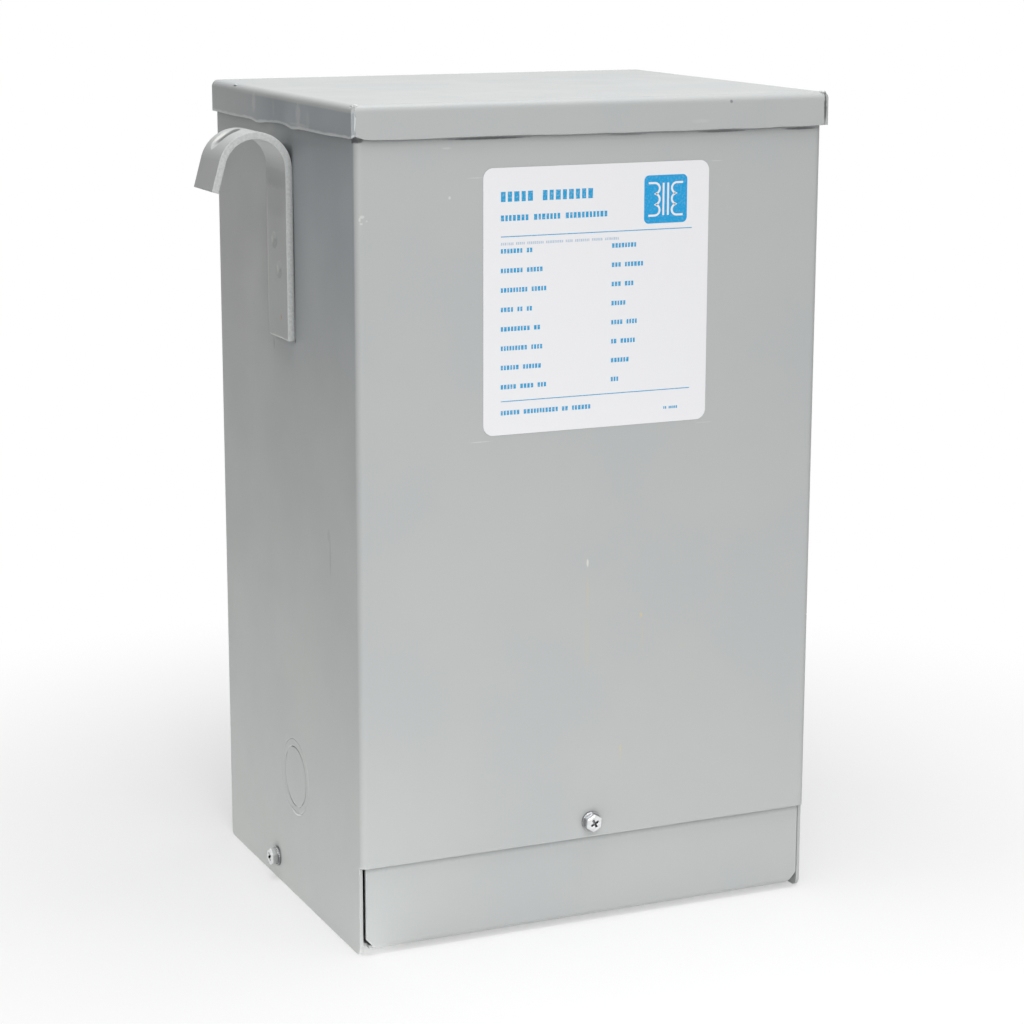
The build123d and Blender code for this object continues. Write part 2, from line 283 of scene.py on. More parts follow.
# Painted shadow on the bottom cover's strip, along the lower edge of the front wall
COVER_SHADOW = ((0.0, 0.0404, 0.30, 0.0037, SMUDGE_AND_SHADOW, 0.24),)
# Marks on the left wall: y, z, half width, half height, colour, strength
LEFT_MARKS = (
    (-0.0556, 0.1710, 0.0010, 0.0120, SMUDGE_AND_SHADOW, 0.35),
    (-0.0540, 0.1800, 0.0022, 0.0040, SMUDGE_AND_SHADOW, 0.20),
    (0.0132, 0.2536, 0.0008, 0.0034, SMUDGE_AND_SHADOW, 0.65),
    # Painted shadow in the gap along the strap's front edge, and under its foot
    (-0.0151, 0.2960, 0.0011, 0.0410, SHADE, 0.85),
    (-0.0152, 0.2586, 0.0012, 0.0014, SHADE, 0.75),
)
# Marks on the left strap and on the lid's front and left flanges, in the same order
STRAP_MARKS = (
    (-0.0060, 0.2681, 0.0013, 0.0016, RUST, 0.65),
    # Painted shade and highlight of the two weld dimples: a dark side, a pale side and a dark middle each
    (-0.0005, 0.3010, 0.0011, 0.0032, SMUDGE_AND_SHADOW, 0.75),
    (0.0048, 0.3010, 0.0009, 0.0028, CHALK_AND_HIGHLIGHT, 0.45),
    (0.0022, 0.3008, 0.0010, 0.0012, SMUDGE_AND_SHADOW, 0.45),
    (-0.0068, 0.2884, 0.0011, 0.0030, SMUDGE_AND_SHADOW, 0.75),
    (-0.0015, 0.2884, 0.0009, 0.0028, CHALK_AND_HIGHLIGHT, 0.45),
    (-0.0040, 0.2884, 0.0010, 0.0012, SMUDGE_AND_SHADOW, 0.45),
    # Painted highlight along the strap's lower edge
    (-0.0020, 0.2588, 0.0150, 0.0009, CHALK_AND_HIGHLIGHT, 0.70),
    # Painted shadow on the leg under the crown
    (-0.0017, 0.3284, 0.0300, 0.0060, SMUDGE_AND_SHADOW, 0.36),
    (-0.0017, 0.3200, 0.0300, 0.0120, SMUDGE_AND_SHADOW, 0.20),
    # Painted highlight along the strap's rear edge
    (0.0104, 0.2950, 0.0012, 0.0420, CHALK_AND_HIGHLIGHT, 0.45),
)
LID_FRONT_MARKS = (
    (0.0628, 0.3623, 0.0010, 0.0010, SMUDGE_AND_SHADOW, 0.95),
    (0.0480, 0.3545, 0.0060, 0.0012, CHALK_AND_HIGHLIGHT, 0.12),
    # Painted shade in the open seam at the lid's right front corner
    (0.1091, 0.3580, 0.0009, 0.0085, SHADE, 0.80),
)
LID_LEFT_HIGHLIGHTS = (
    # Painted reflections: pale streaks down the lid's left flange
    (0.0300, 0.3590, 0.0034, 0.0060, CHALK_AND_HIGHLIGHT, 0.26),
    (0.0040, 0.3580, 0.0020, 0.0060, CHALK_AND_HIGHLIGHT, 0.10),
    (-0.0280, 0.3575, 0.0042, 0.0065, CHALK_AND_HIGHLIGHT, 0.22),
    (-0.0400, 0.3560, 0.0030, 0.0055, CHALK_AND_HIGHLIGHT, 0.10),
    # Painted highlight along the flange's lower edge
    (-0.0300, 0.3530, 0.0160, 0.0012, CHALK_AND_HIGHLIGHT, 0.20),
)
# Painted shade and highlight in the left hook's dart: place, half sizes along it, across it and into it,
# colour, strength
DART_SHADING = (
    ((-0.1306, 0.0036, 0.3473), (0.0092, 0.0018, 0.0045), SHADE, 0.70),
    ((-0.1354, 0.0054, 0.3456), (0.0062, 0.0008, 0.0020), CHALK_AND_HIGHLIGHT, 0.60),
)
DART_TILT = math.radians(-30)
# The noise that makes the marks' edges ragged: its size, detail and roughness. Then its share in a
# mark's reach, and the reach where a mark ends and is full
RAGGED_NOISE = (0.0016, 3.0, 0.7)
MARK_RAGGED, MARK_END, MARK_FULL = 0.9, 1.25, 0.55
DART_RAGGED, DART_END, DART_FULL = 0.3, 1.15, 0.65


def mark_colour(graph, colour, across, height, face, marks):
    """Lays marks over a colour, each a ragged ellipse on one face."""
    ragged = graph.noise(graph.place(), *RAGGED_NOISE)
    for u, z, half_width, half_height, tint, strength in marks:
        du = graph.calc("DIVIDE", graph.calc("SUBTRACT", across, u), half_width)
        dz = graph.calc("DIVIDE", graph.calc("SUBTRACT", height, z), half_height)
        reach = graph.calc("ADD", graph.calc("MULTIPLY", du, du), graph.calc("MULTIPLY", dz, dz))
        spread = graph.calc("ADD", reach, graph.calc("MULTIPLY", ragged, MARK_RAGGED))
        mask = graph.smooth(spread, MARK_END, MARK_FULL, 0.0, strength)
        colour = graph.blend(graph.calc("MULTIPLY", mask, face), colour, tint)
    return colour


def dart_shading_colour(graph, colour, place):
    """Paints the shade and highlight of the hook's dart over a colour."""
    ragged = graph.noise(place, *RAGGED_NOISE)
    turn = (0.0, DART_TILT, 0.0)
    for middle, half_sizes, tint, strength in DART_SHADING:
        inputs = {"Vector": place, "Location": middle, "Rotation": turn, "Scale": half_sizes}
        local = graph.node("ShaderNodeMapping", {"vector_type": "TEXTURE"}, **inputs).outputs[0]
        reach = graph.length(local)
        spread = graph.calc("ADD", reach, graph.calc("MULTIPLY", ragged, DART_RAGGED))
        mask = graph.smooth(spread, DART_END, DART_FULL, 0.0, strength)
        colour = graph.blend(mask, colour, tint)
    return colour


# Enamel: the size, detail and roughness of its clouds, specks, wear, waves and orange peel
CLOUD_NOISE = (0.09, 3.0, 0.55)
SPECK_NOISE, SPECK_RANGE, SPECK_SHARE = (0.004, 4.0, 0.65), (0.3, 0.75), 0.25
WEAR_NOISE = (0.03, 4.0, 0.6)
WAVE_NOISE, WAVE_STRENGTH, WAVE_RISE = (0.11, 1.0), 0.5, 0.0016
PEEL_NOISE, PEEL_STRENGTH, PEEL_RISE = (0.0012, 2.0), 0.06, 0.0003
ENAMEL_ROUGHNESS = (0.36, 0.46)
ENAMEL_SPECULAR = 0.25
# How far behind the front and the left side their marks reach
FRONT_DEPTH, LEFT_DEPTH = 0.003, 0.0003
# Edges, rounded in the shading and lightened by a painted highlight: radius, turn of the surface where it
# starts and is full, strength
EDGE_RADIUS = 0.0009
RIM_START, RIM_FULL, RIM_SHARE = 0.004, 0.09, 0.8
# The left side's upper front part, where painted shade darkens the enamel: share, and y where it starts and
# is full
WALL_SHADE_CORNER = (0.8, 0.035, -0.025)
LID_SHADE_CORNER = (0.9, 0.080, 0.000)
SHADE_CORNER_LOW, SHADE_CORNER_HIGH, SHADE_CORNER_END, SHADE_CORNER_FADE = 0.20, 0.32, 0.3615, 0.001
# The name of the lid's record of its heights before it is dented
REST_HEIGHT = "rest_height"
# The painted highlight along the lid's hem: heights above its lower edge where it ends and is full, and how
# they waver
HEM_END, HEM_FULL = 0.0014, 0.0007
HEM_NOISE, HEM_WAVER = (0.008, 2.0), 0.0002
LID_HEM_HIGHLIGHT = 0.55
# How far a painted highlight lightens the welds all over
WELD_HIGHLIGHT = 0.5
# The grain of the painted highlight on a strap's cut edges, and the turn to the front where it starts and
# is full
CUT_NOISE, CUT_SHARE = (0.0012, 3.0, 0.7), 0.30
CUT_START, CUT_FULL = -0.6, -0.9
# How far a hook's leg stands out from the wall, with some room, and the turn to the left of its face
LEG_REACH = 0.005
LEG_START, LEG_FULL = -0.3, -0.7
# Painted shade in seams and corners: reach in metres, openness where it starts and is full, strength
# and the share of it low down
NARROW_SEAM_SHADE = (0.0024, 0.82, 0.40, 0.60, 1.0)
WIDE_SEAM_SHADE = (0.0034, 0.88, 0.74, 0.72, 0.35)
# Heights over which the painted seam shade comes in above the floor, and gains its strength
FLOOR_REACH = (0.003, 0.007)
LOW_REACH = (0.10, 0.30)


def shade_corner_colour(graph, colour, axes, left_face, shade_corner):
    """Paints shade over the left side's upper front part."""
    share, back, front = shade_corner
    forward = graph.smooth(axes["Y"], back, front)
    upward = graph.smooth(axes["Z"], SHADE_CORNER_LOW, SHADE_CORNER_HIGH, 0.0, share)
    below = graph.smooth(axes["Z"], SHADE_CORNER_END + SHADE_CORNER_FADE, SHADE_CORNER_END)
    corner = graph.calc("MULTIPLY", graph.calc("MULTIPLY", forward, upward), below)
    return graph.blend(graph.calc("MULTIPLY", corner, left_face), colour, GREY_SHADED)


def hem_highlight_colour(graph, colour, place, left_face, wear_and_highlight):
    """Paints a highlight along the lower edge of the lid's left flange, as it was before it was dented."""
    low = graph.node("ShaderNodeAttribute", {"attribute_name": REST_HEIGHT}).outputs["Fac"]
    waver = graph.smooth(graph.noise(place, *HEM_NOISE), *PLAIN_RANGE, -HEM_WAVER, HEM_WAVER)
    low = graph.calc("ADD", low, waver)
    hem = graph.smooth(low, LID_LOW.z + HEM_END, LID_LOW.z + HEM_FULL, 0.0, wear_and_highlight)
    return graph.blend(graph.calc("MULTIPLY", hem, left_face), colour, GREY_HIGHLIGHT)


def lit_cut_colour(graph, colour, place, facing):
    """Paints a grainy highlight on the cut edges of a strap that face the front."""
    grain = graph.smooth(graph.noise(place, *CUT_NOISE), *NARROW_RANGE, 0.0, CUT_SHARE)
    cut = graph.calc("MULTIPLY", graph.smooth(facing["Y"], CUT_START, CUT_FULL), grain)
    return graph.blend(cut, colour, GREY_HIGHLIGHT)


def seam_shade_colour(graph, colour, height, seam_shade):
    """Paints shade into seams and corners."""
    reach, start, full, strength, low_share = seam_shade
    closed = graph.smooth(graph.openness(reach), start, full, 0.0, strength)
    closed = graph.calc("MULTIPLY", closed, graph.smooth(height, *FLOOR_REACH))
    closed = graph.calc("MULTIPLY", closed, graph.smooth(height, *LOW_REACH, low_share, 1.0))
    return graph.blend(closed, colour, SEAM_SHADE)


def paint(
    name, front_marks=(), left_marks=(), shade_corner=None, seam_shade=NARROW_SEAM_SHADE, pale=0.0, wear_and_highlight=0.0, strap=False
):
    """Semi-gloss grey enamel: faintly mottled, with orange peel and slightly wavy sheet under it.

    Marks, painted shade on a corner and in seams, and painted highlights on edges, a hem and a strap's
    cut edges and dart are laid over it where given.
    """
    material, graph = new_graph(name)
    place = graph.place()
    clouds = graph.smooth(graph.noise(place, *CLOUD_NOISE), *NARROW_RANGE)
    colour = graph.blend(clouds, GREY_COOL, GREY_WARM)
    specks = graph.smooth(graph.noise(place, *SPECK_NOISE), *SPECK_RANGE, 0.0, SPECK_SHARE)
    colour = graph.blend(specks, colour, GREY)
    axes = graph.node("ShaderNodeSeparateXYZ", Vector=place).outputs
    front_face = graph.calc("LESS_THAN", axes["Y"], FRONT_Y + FRONT_DEPTH)
    left_face = graph.calc("LESS_THAN", axes["X"], LEFT_X + LEFT_DEPTH)
    if shade_corner:
        colour = shade_corner_colour(graph, colour, axes, left_face, shade_corner)
    normal = graph.soft_edges(EDGE_RADIUS)
    # Painted highlight: the enamel is lightened where its edges turn, and by the pale share all over
    rim_highlight = graph.smooth(graph.edge_share(normal), RIM_START, RIM_FULL, pale, max(pale, RIM_SHARE))
    colour = graph.blend(rim_highlight, colour, GREY_HIGHLIGHT)
    if wear_and_highlight:
        colour = hem_highlight_colour(graph, colour, place, left_face, wear_and_highlight)
    if strap:
        facing = graph.node("ShaderNodeSeparateXYZ", Vector=graph.facing()).outputs
        leg = graph.calc("GREATER_THAN", axes["X"], LEFT_X - LEG_REACH)
        left_face = graph.calc("MULTIPLY", leg, graph.smooth(facing["X"], LEG_START, LEG_FULL))
        colour = lit_cut_colour(graph, colour, place, facing)
        colour = dart_shading_colour(graph, colour, place)
    if front_marks:
        colour = mark_colour(graph, colour, axes["X"], axes["Z"], front_face, front_marks)
    if left_marks:
        colour = mark_colour(graph, colour, axes["Y"], axes["Z"], left_face, left_marks)
    if seam_shade:
        colour = seam_shade_colour(graph, colour, axes["Z"], seam_shade)
    roughness = graph.smooth(graph.noise(place, *WEAR_NOISE), *WIDE_RANGE, *ENAMEL_ROUGHNESS)
    normal = graph.bump(graph.noise(place, *WAVE_NOISE), WAVE_STRENGTH, WAVE_RISE, normal)
    normal = graph.bump(graph.noise(place, *PEEL_NOISE), PEEL_STRENGTH, PEEL_RISE, normal)
    graph.surface(Base_Color=colour, Roughness=roughness, Normal=normal, Specular_IOR_Level=ENAMEL_SPECULAR)
    return material


# Zinc: its clouds, the painted shade in its corners, its grain and edges
ZINC_CLOUD_NOISE, ZINC_CLOUD_SHARE = (0.0015, 3.0, 0.6), 0.5
ZINC_CORNER, ZINC_CORNER_START, ZINC_CORNER_FULL, ZINC_CORNER_SHARE = 0.004, 0.82, 0.42, 0.90
ZINC_GRAIN_NOISE, ZINC_GRAIN_STRENGTH, ZINC_GRAIN_RISE = (0.0006, 2.0), 0.08, 0.0001
ZINC_EDGE_RADIUS = 0.00035
ZINC_ROUGHNESS = (0.12, 0.22)


def zinc(name):
    """Bright zinc plate with a cloudy, finely brushed surface and painted shade in its corners."""
    material, graph = new_graph(name)
    place = graph.place()
    cloud = graph.noise(place, *ZINC_CLOUD_NOISE)
    colour = graph.blend(graph.smooth(cloud, *PLAIN_RANGE, 0.0, ZINC_CLOUD_SHARE), ZINC, ZINC_DULL)
    # Painted shade: the zinc darkens in its corners and where it meets other parts
    openness = graph.openness(ZINC_CORNER)
    corner = graph.smooth(openness, ZINC_CORNER_START, ZINC_CORNER_FULL, 0.0, ZINC_CORNER_SHARE)
    colour = graph.blend(corner, colour, SHADE)
    roughness = graph.smooth(cloud, *PLAIN_RANGE, *ZINC_ROUGHNESS)
    grain = graph.noise(place, *ZINC_GRAIN_NOISE)
    edges = graph.soft_edges(ZINC_EDGE_RADIUS)
    normal = graph.bump(grain, ZINC_GRAIN_STRENGTH, ZINC_GRAIN_RISE, edges)
    graph.surface(Base_Color=colour, Metallic=1.0, Roughness=roughness, Normal=normal)
    return material


# Mill steel: the stretch of its grain across the drawing direction, and its noise
STEEL_STRETCH = (1.0, 12.0, 12.0)
STEEL_NOISE = (0.02, 4.0, 0.6)
STEEL_ROUGHNESS = (0.35, 0.55)


def bare_steel(name):
    """Mill-finish sheet with a drawn grain."""
    material, graph = new_graph(name)
    grain = graph.noise(graph.stretch(graph.place(), STEEL_STRETCH), *STEEL_NOISE)
    colour = graph.blend(grain, STEEL, ZINC_DULL)
    roughness = graph.smooth(grain, *PLAIN_RANGE, *STEEL_ROUGHNESS)
    graph.surface(Base_Color=colour, Metallic=1.0, Roughness=roughness)
    return material


# Laminations: the stretch along the sheets, and the sheets' thickness
SHEET_STRETCH = (0.02, 1.0, 0.02)
SHEET_NOISE, SHEET_STRENGTH, SHEET_RISE = (0.0005, 1.0), 0.4, 0.0002
SHEET_ROUGHNESS = 0.5


def lamination(name):
    """Varnished sheet edges stacked from front to back."""
    material, graph = new_graph(name)
    place = graph.place()
    layers = graph.noise(graph.stretch(place, SHEET_STRETCH), *SHEET_NOISE)
    colour = graph.blend(layers, CORE, STEEL)
    normal = graph.bump(layers, SHEET_STRENGTH, SHEET_RISE)
    graph.surface(Base_Color=colour, Roughness=SHEET_ROUGHNESS, Normal=normal)
    return material


# Cast and wrapped surfaces: the detail and roughness of their grain, its share and its strength
GRAIN_DETAIL, GRAIN_ROUGHNESS = 5.0, 0.65
GRAIN_RANGE, GRAIN_PALE, GRAIN_BUMP = (0.35, 0.8), 0.4, 0.5
WRAP_GRAIN, WRAP_ROUGHNESS = 0.004, 0.6
CAST_GRAIN, CAST_ROUGHNESS = 0.0015, 0.8


def rough_solid(name, colour, pale, size, roughness):
    """A matt cast or wrapped surface with grain of that size."""
    material, graph = new_graph(name)
    grain = graph.noise(graph.place(), size, GRAIN_DETAIL, GRAIN_ROUGHNESS)
    mixed = graph.blend(graph.smooth(grain, *GRAIN_RANGE, 0.0, GRAIN_PALE), colour, pale)
    normal = graph.bump(grain, GRAIN_BUMP, size)
    graph.surface(Base_Color=mixed, Roughness=roughness, Normal=normal)
    return material


# The label's vinyl: its soil and its waves
SOIL_NOISE, SOIL_RANGE, SOIL_SHARE = (0.02, 5.0, 0.6), (0.45, 0.85), 0.12
VINYL_NOISE, VINYL_STRENGTH, VINYL_RISE = (0.006, 2.0), 0.08, 0.0003
VINYL_ROUGHNESS = (0.38, 0.48)


def vinyl(name):
    """The label's white face, very slightly soiled."""
    material, graph = new_graph(name)
    place = graph.place()
    soil = graph.noise(place, *SOIL_NOISE)
    colour = graph.blend(graph.smooth(soil, *SOIL_RANGE, 0.0, SOIL_SHARE), LABEL_WHITE, CHALK_AND_HIGHLIGHT)
    normal = graph.bump(graph.noise(place, *VINYL_NOISE), VINYL_STRENGTH, VINYL_RISE)
    roughness = graph.smooth(soil, *PLAIN_RANGE, *VINYL_ROUGHNESS)
    graph.surface(Base_Color=colour, Roughness=roughness, Normal=normal)
    return material


# Ink: its worn spots, and how far each print is faded there
INK_NOISE, INK_RANGE = (0.0009, 3.0, 0.6), (0.45, 0.75)
PRINT_FADED, FAINT_FADED, EMBLEM_FADED = 0.35, 0.6, 0.12
INK_ROUGHNESS = 0.45


def ink(name, colour, faded):
    """Printing ink that is worn thin in places."""
    material, graph = new_graph(name)
    wear = graph.noise(graph.place(), *INK_NOISE)
    wear_and_highlight = graph.blend(graph.smooth(wear, *INK_RANGE, 0.0, faded), colour, LABEL_WHITE)
    graph.surface(Base_Color=wear_and_highlight, Roughness=INK_ROUGHNESS)
    return material


def mesh_piece(name, build, material):
    """A mesh piece that rides on the case, made by a function that fills a bmesh."""
    shape = bmesh.new()
    build(shape)
    mesh = bpy.data.meshes.new(name)
    shape.to_mesh(mesh)
    shape.free()
    piece = bpy.data.objects.new(name, mesh)
    bpy.context.scene.collection.objects.link(piece)
    mesh.materials.append(material)
    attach(piece, "root")
    return piece


# Label on the front, from its lower left corner
LABEL_LEFT, LABEL_BOTTOM = -0.0520, 0.2251
LABEL_WIDTH, LABEL_HEIGHT = 0.1055, 0.1127
LABEL_CORNER = 0.0045
LABEL_THICK = 0.00012
PRINT_RISE = 0.00003
CORNER_STEPS = 8


def rounded_outline(left, bottom, width, height, radius):
    """Points round a rectangle with round corners."""
    corners = (
        (left + width - radius, bottom + height - radius, 0),
        (left + radius, bottom + height - radius, 1),
        (left + radius, bottom + radius, 2),
        (left + width - radius, bottom + radius, 3),
    )
    points = []
    for x, z, quarter in corners:
        for step in range(CORNER_STEPS + 1):
            angle = (quarter + step / CORNER_STEPS) * math.pi / 2
            points.append((x + radius * math.cos(angle), z + radius * math.sin(angle)))
    return points


def add_patch(shape, points, y):
    """One flat face that looks to the front."""
    face = shape.faces.new([shape.verts.new((x, y, z)) for x, z in points])
    face.normal_update()
    if face.normal.y > 0:
        face.normal_flip()
    return face


def build_label(shape):
    """A thin plate with round corners."""
    outline = rounded_outline(LABEL_LEFT, LABEL_BOTTOM, LABEL_WIDTH, LABEL_HEIGHT, LABEL_CORNER)
    face = add_patch(shape, outline, FRONT_Y - LABEL_THICK)
    ring = list(face.verts)
    behind = [shape.verts.new((v.co.x, FRONT_Y, v.co.z)) for v in ring]
    for i in range(len(ring)):
        j = (i + 1) % len(ring)
        shape.faces.new((ring[j], ring[i], behind[i], behind[j]))
    bmesh.ops.recalc_face_normals(shape, faces=shape.faces[:])


# The label's blank form, in metres from its lower left corner
FIELD_LEFT = 0.008
FIELD_RIGHT = 0.0975
ROW_TOP, ROW_STEP = 0.0770, 0.0082
CELL_HEIGHT, CELL_WIDTH, CELL_GAP, WORD_GAP = 0.0019, 0.0011, 0.00045, 0.0016
CELL_LEAST, CELL_MOST = 0.75, 1.1
RULE_THICK = 0.00035
TITLE_V, TITLE_HEIGHT, TITLE_WORDS = 0.0985, 0.0042, (5, 8)
SUBTITLE_V, SUBTITLE_HEIGHT, SUBTITLE_WORDS = 0.0905, 0.0024, (7, 7, 11)
UPPER_RULE_V, LOWER_RULE_V = 0.0838, 0.0142
FIELD_WORDS = ((7, 2), (7, 5), (9, 5), (4, 2, 2), (9, 2), (9, 4), (6, 6), (5, 4, 3))
VALUE_LEFT = 0.0595
VALUE_WORDS = ((8,), (3, 6), (3, 3), (5,), (4, 4), (2, 5), (6,), (3,))
FOOT_V, FOOT_WORDS = 0.0085, (6, 11, 2, 6)
SMALL_HEIGHT = 0.0011
CORNER_LEFT, CORNER_V, CORNER_WORDS = 0.0850, 0.0058, (2, 5)
FAINT_V, FAINT_WORDS = 0.0804, (7, 5, 9, 10, 4, 8, 6, 8)
PRINT_SEED, FAINT_SEED = 7, 11
EMBLEM_LEFT, EMBLEM_BOTTOM, EMBLEM_SIZE, EMBLEM_CORNER = 0.0745, 0.0865, 0.0205, 0.0022
COIL_TURNS, COIL_RADIUS, COIL_LINE = 3, 0.0023, 0.0009
COIL_OUT, LEAD_OUT, CORE_OUT, TURN_STEPS = 0.0052, 0.0082, 0.0011, 12


def print_face(shape, u_low, u_high, v_low, v_high):
    """One printed rectangle, in the label's own measure."""
    y = FRONT_Y - LABEL_THICK - PRINT_RISE
    x_low, x_high = LABEL_LEFT + u_low, LABEL_LEFT + u_high
    z_low, z_high = LABEL_BOTTOM + v_low, LABEL_BOTTOM + v_high
    add_patch(shape, ((x_low, z_low), (x_high, z_low), (x_high, z_high), (x_low, z_high)), y)


def print_words(shape, draw, u, v, lengths, height=CELL_HEIGHT):
    """A row of plain blocks grouped as words are."""
    scale = height / CELL_HEIGHT
    for length in lengths:
        for _ in range(length):
            width = CELL_WIDTH * scale * draw.uniform(CELL_LEAST, CELL_MOST)
            print_face(shape, u, u + width, v, v + height)
            u += width + CELL_GAP * scale
        u += WORD_GAP * scale


def build_print(shape):
    """Headings, rows and rules of a blank form."""
    draw = random.Random(PRINT_SEED)
    print_words(shape, draw, FIELD_LEFT, TITLE_V, TITLE_WORDS, TITLE_HEIGHT)
    print_words(shape, draw, FIELD_LEFT, SUBTITLE_V, SUBTITLE_WORDS, SUBTITLE_HEIGHT)
    print_face(shape, FIELD_LEFT, FIELD_RIGHT, UPPER_RULE_V, UPPER_RULE_V + RULE_THICK)
    for index, (field, value) in enumerate(zip(FIELD_WORDS, VALUE_WORDS)):
        v = ROW_TOP - index * ROW_STEP
        print_words(shape, draw, FIELD_LEFT, v, field)
        print_words(shape, draw, VALUE_LEFT, v, value)
    print_face(shape, FIELD_LEFT, FIELD_RIGHT, LOWER_RULE_V, LOWER_RULE_V + RULE_THICK)
    print_words(shape, draw, FIELD_LEFT, FOOT_V, FOOT_WORDS)
    print_words(shape, draw, CORNER_LEFT, CORNER_V, CORNER_WORDS, SMALL_HEIGHT)


def build_faint_print(shape):
    """One row of very small print."""
    draw = random.Random(FAINT_SEED)
    print_words(shape, draw, FIELD_LEFT, FAINT_V, FAINT_WORDS, SMALL_HEIGHT)


def build_emblem(shape):
    """A square with round corners."""
    left, bottom = LABEL_LEFT + EMBLEM_LEFT, LABEL_BOTTOM + EMBLEM_BOTTOM
    outline = rounded_outline(left, bottom, EMBLEM_SIZE, EMBLEM_SIZE, EMBLEM_CORNER)
    add_patch(shape, outline, FRONT_Y - LABEL_THICK - PRINT_RISE)


def add_ribbon(shape, points, width, y):
    """A flat line of that width through points on the front."""
    sides = []
    for i, (x, z) in enumerate(points):
        before, after = points[max(i - 1, 0)], points[min(i + 1, len(points) - 1)]
        along = Vector((after[0] - before[0], after[1] - before[1])).normalized()
        offset = Vector((-along.y, along.x)) * width / 2
        sides.append(((x + offset.x, z + offset.y), (x - offset.x, z - offset.y)))
    for (a, b), (c, d) in zip(sides, sides[1:]):
        add_patch(shape, (a, b, d, c), y)


def build_windings(shape):
    """Two coils face to face with a core between them, as wiring drawings show a transformer."""
    y = FRONT_Y - LABEL_THICK - 2 * PRINT_RISE
    centre_x = LABEL_LEFT + EMBLEM_LEFT + EMBLEM_SIZE / 2
    centre_z = LABEL_BOTTOM + EMBLEM_BOTTOM + EMBLEM_SIZE / 2
    reach = COIL_TURNS * COIL_RADIUS
    for side in (-1, 1):
        base_x = centre_x + side * COIL_OUT
        points = [(centre_x + side * LEAD_OUT, centre_z + reach), (base_x, centre_z + reach)]
        for turn in range(COIL_TURNS):
            middle = centre_z + reach - (2 * turn + 1) * COIL_RADIUS
            for step in range(1, TURN_STEPS + 1):
                angle = math.pi / 2 - math.pi * step / TURN_STEPS
                bulge = COIL_RADIUS * math.cos(angle)
                points.append((base_x - side * bulge, middle + COIL_RADIUS * math.sin(angle)))
        points.append((centre_x + side * LEAD_OUT, centre_z - reach))
        add_ribbon(shape, points, COIL_LINE, y)
        line_x = centre_x + side * CORE_OUT
        add_ribbon(shape, [(line_x, centre_z + reach), (line_x, centre_z - reach)], COIL_LINE, y)


# Dents in the lid's left and front flanges: place along the flange, outward push, drop of the lower
# edge, spread along the flange
LEFT_DENTS = (
    (0.0240, 0.0005, 0.0009, 0.0070),
    (-0.0030, -0.0002, -0.0006, 0.0110),
    (-0.0210, 0.0005, 0.0006, 0.0055),
    (-0.0850, 0.0000, -0.0005, 0.0150),
    (0.0600, -0.0002, 0.0003, 0.0140),
)
FRONT_DENTS = (
    (-0.0830, -0.0001, 0.0004, 0.0200),
    (-0.0480, 0.0002, 0.0001, 0.0180),
    (-0.0100, -0.0001, 0.0006, 0.0200),
    (0.0170, 0.0001, 0.0005, 0.0120),
    (0.0390, -0.0001, 0.0007, 0.0120),
    (0.0580, 0.0002, 0.0004, 0.0120),
    (0.0760, -0.0001, 0.0007, 0.0100),
    (0.0980, 0.0002, 0.0005, 0.0120),
    (-0.1085, 0.0000, -0.0012, 0.0030),
)
LID_STEP_ALONG, LID_STEP_DOWN = 0.003, 0.002
LID_BEND = 0.00302
LID_SHARP_ANGLE = math.radians(28)
MERGE_DISTANCE = 1e-6


def cut_flange(shape, axis, limit):
    """Cuts the flange beyond the limit on an axis into small faces."""
    along = 1 - axis
    cuts = []
    steps = ((along, LID_STEP_ALONG, LID_HIGH[along]), (2, LID_STEP_DOWN, LID_HIGH.z - LID_BEND))
    for direction, step, high in steps:
        normal = [0, 0, 0]
        normal[direction] = 1
        reach = LID_LOW[direction] + step
        while reach < high:
            place = [0, 0, 0]
            place[direction] = reach
            cuts.append((place, normal))
            reach += step
    for place, normal in cuts:
        near = [f for f in shape.faces if min(v.co[axis] for v in f.verts) < limit + LID_BEND]
        edges = list({e for f in near for e in f.edges})
        verts = list({v for f in near for v in f.verts})
        bmesh.ops.bisect_plane(shape, geom=verts + edges + near, plane_co=place, plane_no=normal)


def dent_flange(shape, axis, limit, dents):
    """Pushes the lower part of a flange out or in, and its lower edge down or up."""
    bend_z = LID_HIGH.z - LID_BEND
    reach = bend_z - LID_LOW.z
    for vert in shape.verts:
        if vert.co[axis] < limit and vert.co.z < bend_z:
            share = (bend_z - vert.co.z) / reach
            for along, push, drop, spread in dents:
                weight = share * math.exp(-(((vert.co[1 - axis] - along) / spread) ** 2))
                vert.co[axis] -= push * weight
                vert.co.z -= drop * weight * share


def build_lid(shape):
    """The lid of the frame with its left and front flanges slightly dented."""
    shape.from_mesh(frame["nodes"]["lid"].data)
    bmesh.ops.remove_doubles(shape, verts=shape.verts[:], dist=MERGE_DISTANCE)
    sides = ((0, LEFT_X, LEFT_DENTS), (1, FRONT_Y, FRONT_DENTS))
    for axis, limit, _ in sides:
        cut_flange(shape, axis, limit)
    rest = shape.verts.layers.float.new(REST_HEIGHT)
    for vert in shape.verts:
        vert[rest] = vert.co.z
    for axis, limit, dents in sides:
        dent_flange(shape, axis, limit, dents)
    for face in shape.faces:
        face.smooth = True


# Painted welds on the lid: place from the lid's upper left front corner, half sizes
LUMPS = {
    "left_lid_tack": ((0.0024, 0.0022, -0.0007), (0.0014, 0.0013, 0.0008)),
    "left_lid_bead": ((0.0016, 0.0003, -0.0070), (0.0007, 0.0004, 0.0048)),
    "right_lid_tack": ((0.2192, 0.0022, -0.0004), (0.0016, 0.0013, 0.0008)),
    "rear_lid_tack": ((0.0015, 0.1500, -0.0006), (0.0010, 0.0016, 0.0004)),
}
